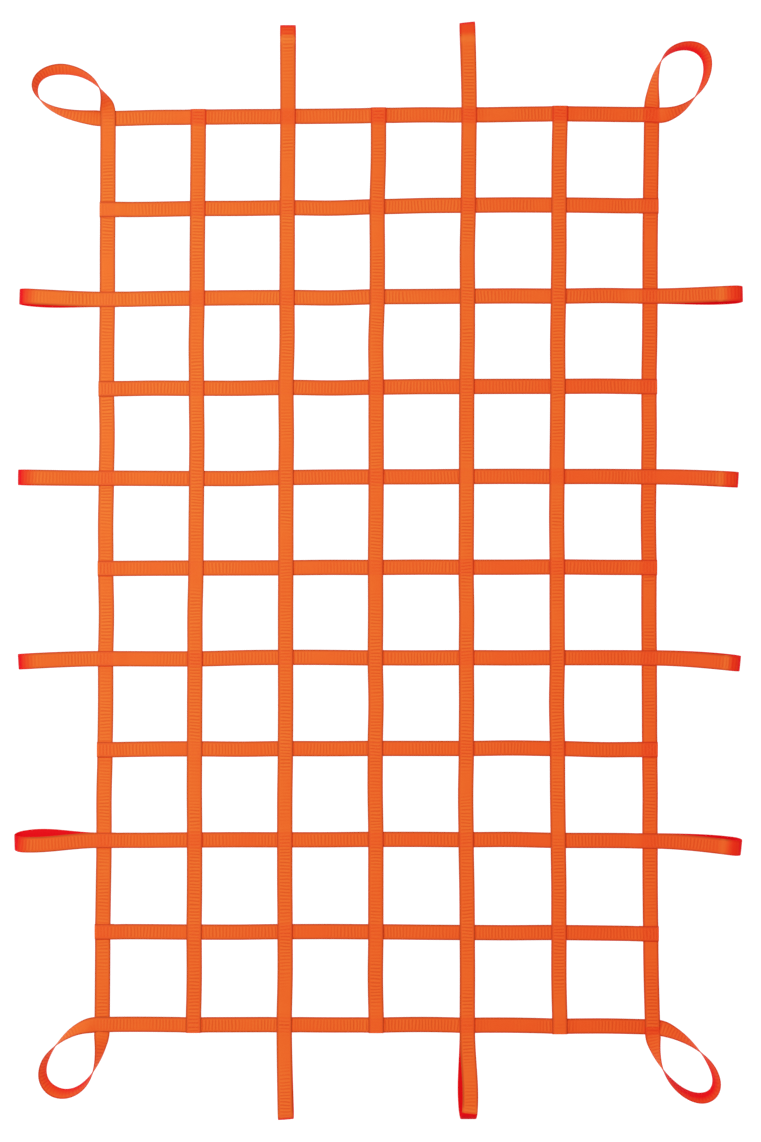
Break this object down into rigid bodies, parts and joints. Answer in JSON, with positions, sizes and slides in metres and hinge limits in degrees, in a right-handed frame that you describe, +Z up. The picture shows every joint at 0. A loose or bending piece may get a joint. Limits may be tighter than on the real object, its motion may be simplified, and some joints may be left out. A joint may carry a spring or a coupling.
{
  "type": "cargo climbing net",
  "caption": "Flat rectangular climbing and cargo net of sewn orange webbing in square cells, with hanging loops on all sides and twisted loops at the corners.",
  "frame": {"origin": "middle of the net, at the level of the floor it lies on", "axes": "+X across the net, +Y along it towards the top row, +Z up"},
  "size_m": [1.8236, 2.764, 0.045],
  "materials": {
    "webbing": "woven",
    "thread": "matte"
  },
  "bodies": {
    "band_01": {"border_strap_top": "webbing", "border_uprights_01": "webbing", "inner_uprights_01": "webbing", "stitching_01": "thread"},
    "band_02": {"cross_strap_02": "webbing", "border_uprights_02": "webbing", "inner_uprights_02": "webbing", "stitching_02": "thread"},
    "band_03": {"cross_strap_03": "webbing", "border_uprights_03": "webbing", "inner_uprights_03": "webbing", "stitching_03": "thread"},
    "band_04": {"cross_strap_04": "webbing", "border_uprights_04": "webbing", "inner_uprights_04": "webbing", "stitching_04": "thread"},
    "band_05": {"cross_strap_05": "webbing", "border_uprights_05": "webbing", "inner_uprights_05": "webbing", "stitching_05": "thread"},
    "band_06": {"cross_strap_06": "webbing", "border_uprights_06": "webbing", "inner_uprights_06": "webbing", "stitching_06": "thread"},
    "band_07": {"cross_strap_07": "webbing", "border_uprights_07": "webbing", "inner_uprights_07": "webbing", "stitching_07": "thread"},
    "band_08": {"cross_strap_08": "webbing", "border_uprights_08": "webbing", "inner_uprights_08": "webbing", "stitching_08": "thread"},
    "band_09": {"cross_strap_09": "webbing", "border_uprights_09": "webbing", "inner_uprights_09": "webbing", "stitching_09": "thread"},
    "band_10": {"cross_strap_10": "webbing", "border_uprights_10": "webbing", "inner_uprights_10": "webbing", "stitching_10": "thread"},
    "band_11": {"border_strap_bottom": "webbing", "border_uprights_11": "webbing", "inner_uprights_11": "webbing", "stitching_11": "thread"},
    "loop_left_3_body": {"loop_left_3": "webbing"},
    "loop_left_5_body": {"loop_left_5": "webbing"},
    "loop_left_7_body": {"loop_left_7": "webbing"},
    "loop_left_9_body": {"loop_left_9": "webbing"},
    "loop_right_3_body": {"loop_right_3": "webbing"},
    "loop_right_5_body": {"loop_right_5": "webbing"},
    "loop_right_7_body": {"loop_right_7": "webbing"},
    "loop_right_9_body": {"loop_right_9": "webbing"},
    "loop_top_3_body": {"loop_top_3": "webbing"},
    "loop_top_5_body": {"loop_top_5": "webbing"},
    "loop_bottom_3_body": {"loop_bottom_3": "webbing"},
    "loop_bottom_5_body": {"loop_bottom_5": "webbing"},
    "loop_corner_top_left_body": {"loop_corner_top_left": "webbing"},
    "loop_corner_top_right_body": {"loop_corner_top_right": "webbing"},
    "loop_corner_bottom_left_body": {"loop_corner_bottom_left": "webbing"},
    "loop_corner_bottom_right_body": {"loop_corner_bottom_right": "webbing"}
  },
  "joints": [
    {"name": "bend_05_06", "type": "hinge", "parent": "band_06", "child": "band_05", "pos_m": [0, 0.1143, 0.00125], "axis": [1, 0, 0], "range_deg": [-25, 25]},
    {"name": "bend_04_05", "type": "hinge", "parent": "band_05", "child": "band_04", "pos_m": [0, 0.3429, 0.00125], "axis": [1, 0, 0], "range_deg": [-25, 25]},
    {"name": "bend_03_04", "type": "hinge", "parent": "band_04", "child": "band_03", "pos_m": [0, 0.5715, 0.00125], "axis": [1, 0, 0], "range_deg": [-25, 25]},
    {"name": "bend_02_03", "type": "hinge", "parent": "band_03", "child": "band_02", "pos_m": [0, 0.8001, 0.00125], "axis": [1, 0, 0], "range_deg": [-25, 25]},
    {"name": "bend_01_02", "type": "hinge", "parent": "band_02", "child": "band_01", "pos_m": [0, 1.0287, 0.00125], "axis": [1, 0, 0], "range_deg": [-25, 25]},
    {"name": "bend_06_07", "type": "hinge", "parent": "band_06", "child": "band_07", "pos_m": [0, -0.1143, 0.00125], "axis": [-1, 0, 0], "range_deg": [-25, 25]},
    {"name": "bend_07_08", "type": "hinge", "parent": "band_07", "child": "band_08", "pos_m": [0, -0.3429, 0.00125], "axis": [-1, 0, 0], "range_deg": [-25, 25]},
    {"name": "bend_08_09", "type": "hinge", "parent": "band_08", "child": "band_09", "pos_m": [0, -0.5715, 0.00125], "axis": [-1, 0, 0], "range_deg": [-25, 25]},
    {"name": "bend_09_10", "type": "hinge", "parent": "band_09", "child": "band_10", "pos_m": [0, -0.8001, 0.00125], "axis": [-1, 0, 0], "range_deg": [-25, 25]},
    {"name": "bend_10_11", "type": "hinge", "parent": "band_10", "child": "band_11", "pos_m": [0, -1.0287, 0.00125], "axis": [-1, 0, 0], "range_deg": [-25, 25]},
    {"name": "loop_left_3_hinge", "type": "hinge", "parent": "band_03", "child": "loop_left_3_body", "pos_m": [-0.7089, 0.6858, 0.00375], "axis": [0, 1, 0], "range_deg": [-90, 75]},
    {"name": "loop_left_5_hinge", "type": "hinge", "parent": "band_05", "child": "loop_left_5_body", "pos_m": [-0.7089, 0.2286, 0.00375], "axis": [0, 1, 0], "range_deg": [-90, 75]},
    {"name": "loop_left_7_hinge", "type": "hinge", "parent": "band_07", "child": "loop_left_7_body", "pos_m": [-0.7089, -0.2286, 0.00375], "axis": [0, 1, 0], "range_deg": [-90, 75]},
    {"name": "loop_left_9_hinge", "type": "hinge", "parent": "band_09", "child": "loop_left_9_body", "pos_m": [-0.7089, -0.6858, 0.00375], "axis": [0, 1, 0], "range_deg": [-90, 75]},
    {"name": "loop_right_3_hinge", "type": "hinge", "parent": "band_03", "child": "loop_right_3_body", "pos_m": [0.7089, 0.6858, 0.00375], "axis": [0, -1, 0], "range_deg": [-90, 75]},
    {"name": "loop_right_5_hinge", "type": "hinge", "parent": "band_05", "child": "loop_right_5_body", "pos_m": [0.7089, 0.2286, 0.00375], "axis": [0, -1, 0], "range_deg": [-90, 75]},
    {"name": "loop_right_7_hinge", "type": "hinge", "parent": "band_07", "child": "loop_right_7_body", "pos_m": [0.7089, -0.2286, 0.00375], "axis": [0, -1, 0], "range_deg": [-90, 75]},
    {"name": "loop_right_9_hinge", "type": "hinge", "parent": "band_09", "child": "loop_right_9_body", "pos_m": [0.7089, -0.6858, 0.00375], "axis": [0, -1, 0], "range_deg": [-90, 75]},
    {"name": "loop_top_3_hinge", "type": "hinge", "parent": "band_01", "child": "loop_top_3_body", "pos_m": [-0.2286, 1.1661, 0.00375], "axis": [1, 0, 0], "range_deg": [-90, 75]},
    {"name": "loop_top_5_hinge", "type": "hinge", "parent": "band_01", "child": "loop_top_5_body", "pos_m": [0.2286, 1.1661, 0.00375], "axis": [1, 0, 0], "range_deg": [-90, 75]},
    {"name": "loop_bottom_3_hinge", "type": "hinge", "parent": "band_11", "child": "loop_bottom_3_body", "pos_m": [-0.2286, -1.1661, 0.00375], "axis": [-1, 0, 0], "range_deg": [-90, 75]},
    {"name": "loop_bottom_5_hinge", "type": "hinge", "parent": "band_11", "child": "loop_bottom_5_body", "pos_m": [0.2286, -1.1661, 0.00375], "axis": [-1, 0, 0], "range_deg": [-90, 75]},
    {"name": "loop_corner_top_left_hinge", "type": "hinge", "parent": "band_01", "child": "loop_corner_top_left_body", "pos_m": [-0.70485, 1.16205, 0.0025], "axis": [0.7071, 0.7071, 0], "range_deg": [-90, 90]},
    {"name": "loop_corner_top_right_hinge", "type": "hinge", "parent": "band_01", "child": "loop_corner_top_right_body", "pos_m": [0.70485, 1.16205, 0.0025], "axis": [0.7071, -0.7071, 0], "range_deg": [-90, 90]},
    {"name": "loop_corner_bottom_left_hinge", "type": "hinge", "parent": "band_11", "child": "loop_corner_bottom_left_body", "pos_m": [-0.70485, -1.16205, 0.0025], "axis": [-0.7071, 0.7071, 0], "range_deg": [-90, 90]},
    {"name": "loop_corner_bottom_right_hinge", "type": "hinge", "parent": "band_11", "child": "loop_corner_bottom_right_body", "pos_m": [0.70485, -1.16205, 0.0025], "axis": [-0.7071, -0.7071, 0], "range_deg": [-90, 90]}
  ]
}
